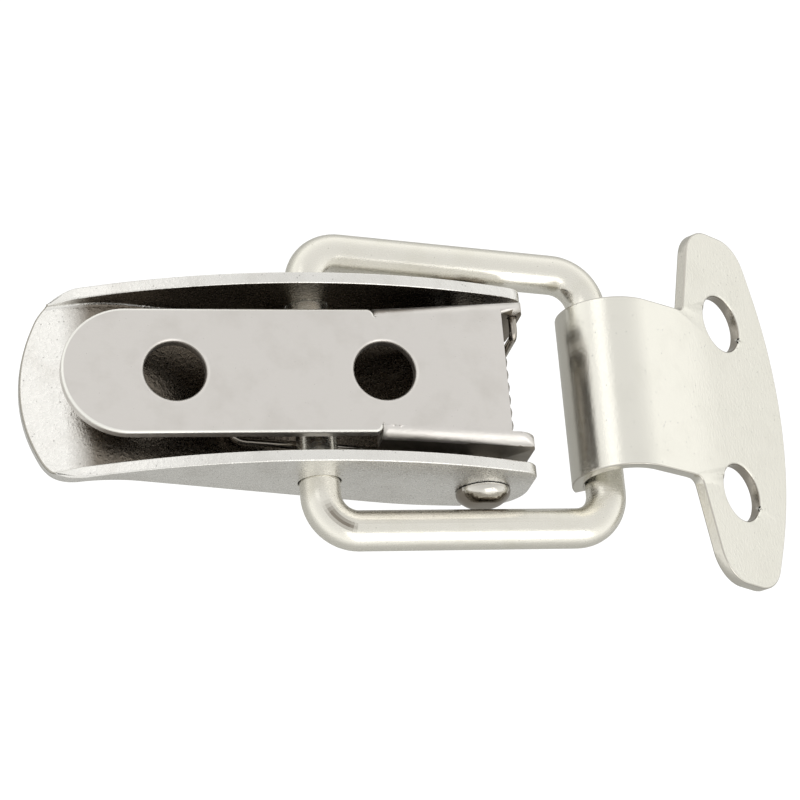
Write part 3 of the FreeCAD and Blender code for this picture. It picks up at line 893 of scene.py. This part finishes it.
@dataclass
class Bail:
    """The wire loop whose ends turn in through the lever's cheeks."""

    wire: float = 3.0 * MM
    pivot: Vector = field(default_factory=lambda: Vector((2.96, 0.0, -3.7)) * MM)
    tilt: float = math.radians(6.8)
    length: float = 22.4 * MM
    half_at_pivot: float = 11.1 * MM
    half_at_cross: float = 10.15 * MM
    pivot_bend: float = 2.6 * MM
    cross_bend: float = 2.8 * MM
    half_gap: float = 3.2 * MM
    end_radius: float = 0.35 * MM
    # share of painted shade on the near leg's inner side
    leg_shade: float = 0.5
    fade: float = 7.0 * MM
    crease_start: float = 14.0
    crease_end: float = 84.0
    crease_fades: tuple[float, float] = (20.0, 14.0)
    crease_round_wire: float = 82.0
    crease_half_width: float = 20.0

    def build(self) -> list[bpy.types.Object]:
        """Make the loop.

        Returns:
            The new piece in a list.
        """
        bender = WireBender(self.wire / 2.0, facets=40)
        bender.start(Vector((0.0, -self.half_gap, 0.0)), -ACROSS)
        bender.follow(
            [
                Vector((0.0, -self.half_at_pivot, 0.0)),
                Vector((self.length, -self.half_at_cross, 0.0)),
                Vector((self.length, self.half_at_cross, 0.0)),
                Vector((0.0, self.half_at_pivot, 0.0)),
                Vector((0.0, self.half_gap, 0.0)),
            ],
            [self.pivot_bend, self.cross_bend, self.cross_bend, self.pivot_bend],
            steps=16,
            parts=20,
        )
        shape = bender.finish(self.end_radius)
        seat = Matrix.Translation(self.pivot) @ Matrix.Rotation(self.tilt, 4, "Y")
        bmesh.ops.transform(shape, matrix=seat, verts=shape.verts)
        loop = as_piece("bail_loop", shape, BAIL_WIRE, Body.BAIL, "bail")
        mark_painted_shade(loop, self.shade_and_crease)
        return [loop]

    def shade_and_crease(self, face: bpy.types.MeshPolygon) -> float:
        """Paint shade on the near leg's inner side, and darken the crease that bending left along its pivot bend.

        Args:
            face: A face of the loop.

        Returns:
            How dark the face is.
        """
        spot = Matrix.Rotation(-self.tilt, 3, "Y") @ (face.center - self.pivot)
        if spot.y > 0.0:
            return 0.0
        inner = self.leg_shade * unit((face.normal.y + 0.05) / 0.6)
        inner *= unit((self.length - self.cross_bend - spot.x) / self.fade)
        from_bend = Vector((spot.x - self.pivot_bend, spot.y + self.half_at_pivot - self.pivot_bend))
        if from_bend.x > 0.0:
            return inner
        along = math.degrees(math.atan2(-from_bend.y, -from_bend.x))
        round_wire = math.degrees(math.atan2(spot.z, from_bend.length - self.pivot_bend))
        fade_in, fade_out = self.crease_fades
        crease = unit(min((along - self.crease_start) / fade_in, (self.crease_end - along) / fade_out))
        crease *= 1.0 - abs(round_wire - self.crease_round_wire) / self.crease_half_width
        return max(inner * along / 90.0, crease)


@dataclass
class TorsionSpring:
    """The coil round the rivet, its tail in the base's ear and its arm under the bail's end."""

    wire: float = 0.6 * MM
    radius: float = 2.45 * MM
    half_turns: int = 14
    start_y: float = 3.332 * MM
    end_y: float = -3.812 * MM
    pivot: Vector = field(default_factory=lambda: Vector((15.6, 0.0, -5.7)) * MM)
    bail_pivot: Vector = field(default_factory=lambda: Vector((2.96, 0.0, -3.7)) * MM)
    bail_radius: float = 1.5 * MM
    arm_gap: float = 0.03 * MM
    tail_bend: float = 0.6 * MM
    tail_height: float = 4.0 * MM
    tail_end: float = 5.93 * MM
    arm_reach: float = 3.3 * MM
    arm_bend: float = 1.1 * MM
    arm_hook: float = 2.2 * MM
    end_radius: float = 0.06 * MM

    def build(self) -> list[bpy.types.Object]:
        """Make the spring, which winds up as the lever opens.

        Returns:
            The new piece in a list.
        """
        half = self.wire / 2.0
        reach = self.bail_pivot - self.pivot
        bearing = self.bail_radius + half + self.arm_gap
        rise = math.atan2(reach.z, -reach.x) + math.asin((self.radius - bearing) / reach.length)
        along = Vector((-math.cos(rise), 0.0, math.sin(rise)))

        bender = WireBender(half, facets=16)
        bender.start(Vector((self.radius, self.tail_end, self.tail_height)), -ACROSS)
        bender.follow(
            [Vector((self.radius, self.start_y, self.tail_height)), Vector((self.radius, self.start_y, 0.0))],
            [self.tail_bend],
            steps=6,
        )
        bender.turn(ACROSS * self.start_y, ACROSS, math.pi / 2.0 + rise, steps=12)
        self.coil(bender, along)
        arm_length = (bender.here.x + self.pivot.x + self.arm_reach) / math.cos(rise)
        arm_corner = bender.here + along * arm_length
        bender.follow([arm_corner, arm_corner + ACROSS * self.arm_hook], [self.arm_bend], steps=8, parts=6)
        shape = bender.finish(self.end_radius)
        bmesh.ops.translate(shape, verts=shape.verts, vec=self.pivot)

        spring = as_object("spring_coil", shape, SPRING_WIRE.material())
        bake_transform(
            spring,
            Body.BASE.value,
            Body.LEVER.value,
            start=(self.pivot.x, self.start_y, self.pivot.z),
            end=(self.pivot.x, self.end_y, self.pivot.z),
        )
        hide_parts("torsion_spring")
        return [spring]

    def coil(self, bender: WireBender, heading: Vector) -> None:
        """Wind the coil as half turns that lean to and fro and join tangentially.

        Args:
            bender: The wire, at the coil's start.
            heading: The way that the wire runs there.
        """
        step = ACROSS * ((self.end_y - self.start_y) / self.half_turns)
        for _ in range(self.half_turns):
            here = bender.here.copy()
            there = Vector((-here.x, here.y, -here.z)) + step
            centre = (here + there) / 2.0
            bender.turn(centre, (here - centre).cross(heading).normalized(), math.pi, steps=20)
            heading = -heading


# the studio


@dataclass(frozen=True)
class Lamp:
    """A soft square lamp: its place and side in metres, and the brightness of its face."""

    name: str
    spot: tuple[float, float, float]
    side: float
    level: float


@dataclass
class Studio:
    """Pale floor, soft light and the camera at the photograph's angle."""

    floor_height: float = -38.0 * MM
    floor_size: float = 3.0
    floor_glow: float = 1.32
    floor_share: float = 0.72
    # the floor's painted shadow: greyer near the latch
    painted_shadow_tone: Tone = (0.54, 0.54, 0.53)
    far_tone: Tone = (0.84, 0.84, 0.83)
    painted_shadow_reach: tuple[float, float] = (0.07, 0.22)
    horizon_tone: Tone = (1.14, 1.135, 1.10)
    overhead_tone: Tone = (0.85, 0.845, 0.83)
    lamp_tone: Tone = (1.0, 0.985, 0.95)
    lamp_aim: Vector = field(default_factory=lambda: Vector((0.01, 0.0, 0.0)))
    lamps: tuple[Lamp, ...] = (
        Lamp("key_front", (0.22, -0.48, 0.30), side=0.42, level=1.12),
        Lamp("fill_left", (-0.30, 0.22, 0.46), side=0.26, level=0.48),
    )
    lens: float = 151.07
    eye: Vector = field(default_factory=lambda: Vector((-43.24, -90.79, 220.97)) * MM)
    eye_turn: tuple[float, float, float] = (0.38911844, -0.19797665, -0.08302667)

    def floor(self) -> None:
        """Lay a white floor, low enough for the open lever, with its shadow."""
        shape = bmesh.new()
        bmesh.ops.create_grid(shape, x_segments=1, y_segments=1, size=self.floor_size)
        bmesh.ops.translate(shape, verts=shape.verts, vec=Vector((0.0, 0.0, self.floor_height)))
        floor = as_object("floor", shape, self.paper())

    def paper(self) -> bpy.types.Material:
        """Make the floor's paper: greyer near the latch as a painted shadow, glowing a little, and clear from
        below.

        Returns:
            The material.
        """
        paper = bpy.data.materials.new("white_paper")
        paper.use_nodes = True
        shader = paper.node_tree.nodes["Principled BSDF"]
        shader.inputs["Roughness"].default_value = 0.9
        shader.inputs["Specular IOR Level"].default_value = 0.1

        graph = Graph(paper.node_tree)
        place = graph.add("ShaderNodeTexCoord").outputs["Object"]
        away = graph.add("ShaderNodeVectorMath", {0: place}, operation="LENGTH").outputs["Value"]
        # painted shadow: the paper greys towards the latch
        tone = graph.mix(graph.remap(away, self.painted_shadow_reach), (*self.painted_shadow_tone, 1.0), (*self.far_tone, 1.0))
        graph.join(tone, shader.name, "Base Color")

        seen = graph.product(graph.add("ShaderNodeLightPath").outputs["Is Camera Ray"], self.floor_share)
        glow = graph.add("ShaderNodeEmission", {"Color": WHITE, "Strength": self.floor_glow}).outputs["Emission"]
        above = graph.blend_shaders(seen, shader.outputs["BSDF"], glow)
        from_below = graph.add("ShaderNodeNewGeometry").outputs["Backfacing"]
        clear = graph.add("ShaderNodeBsdfTransparent").outputs["BSDF"]
        graph.join(graph.blend_shaders(from_below, above, clear), "Material Output", "Surface")
        return paper

    def hang(self, lamp: Lamp) -> None:
        """Hang a lamp that faces the latch.

        Args:
            lamp: The lamp.
        """
        light = bpy.data.lights.new(lamp.name, "AREA")
        light.shape = "SQUARE"
        light.size = lamp.side
        light.energy = lamp.level * math.pi * lamp.side * lamp.side
        light.color = self.lamp_tone
        hung = bpy.data.objects.new(lamp.name, light)
        hung.location = lamp.spot
        hung.rotation_euler = (self.lamp_aim - Vector(lamp.spot)).to_track_quat("-Z", "Y").to_euler()
        bpy.context.scene.collection.objects.link(hung)

    def surroundings(self) -> None:
        """Light the latch from all round, paler at the horizon and greyer overhead, before white."""
        world = bpy.data.worlds.new("studio")
        world.use_nodes = True
        bpy.context.scene.world = world
        graph = Graph(world.node_tree)
        place = graph.add("ShaderNodeTexCoord").outputs["Generated"]
        height = graph.add("ShaderNodeSeparateXYZ", {"Vector": place}).outputs["Z"]
        sky = graph.add("ShaderNodeValToRGB", {"Fac": height})
        sky.color_ramp.interpolation = "EASE"
        low, high = sky.color_ramp.elements
        low.position, low.color = 0.05, (*self.horizon_tone, 1.0)
        high.position, high.color = 0.95, (*self.overhead_tone, 1.0)
        graph.join(sky.outputs["Color"], "Background", "Color")

        lit = world.node_tree.nodes["Background"].outputs["Background"]
        white = graph.add("ShaderNodeBackground", {"Color": WHITE}).outputs["Background"]
        seen = graph.add("ShaderNodeLightPath").outputs["Is Camera Ray"]
        graph.join(graph.blend_shaders(seen, lit, white), "World Output", "Surface")

    def camera(self) -> None:
        """Set the camera where the photograph was taken from."""
        eye = bpy.data.cameras.new("camera")
        eye.sensor_width = 36.0
        eye.lens = self.lens
        eye.clip_start = 0.01
        eye.clip_end = 20.0
        camera = bpy.data.objects.new("camera", eye)
        camera.matrix_world = Matrix.Translation(self.eye) @ Euler(self.eye_turn, "XYZ").to_matrix().to_4x4()
        bpy.context.scene.collection.objects.link(camera)
        bpy.context.scene.camera = camera

    def build(self) -> None:
        """Set up the floor, the lamps, the surroundings and the camera."""
        self.floor()
        for lamp in self.lamps:
            self.hang(lamp)
        self.surroundings()
        self.camera()
        bpy.context.scene.view_settings.view_transform = "Standard"


def main() -> None:
    """Build the latch on its frame, then the studio round it."""
    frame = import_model()
    nodes = frame["nodes"]
    assemblies = (
        BasePlate().build(nodes),
        Lever().build(nodes),
        StrikePlate().build(nodes),
        Bail().build(),
        TorsionSpring().build(),
    )
    for pieces in assemblies:
        for piece in pieces:
            log.info("%s: %d faces", piece.name, len(piece.data.polygons))
    Studio().build()


if __name__ == "__main__":
    main()
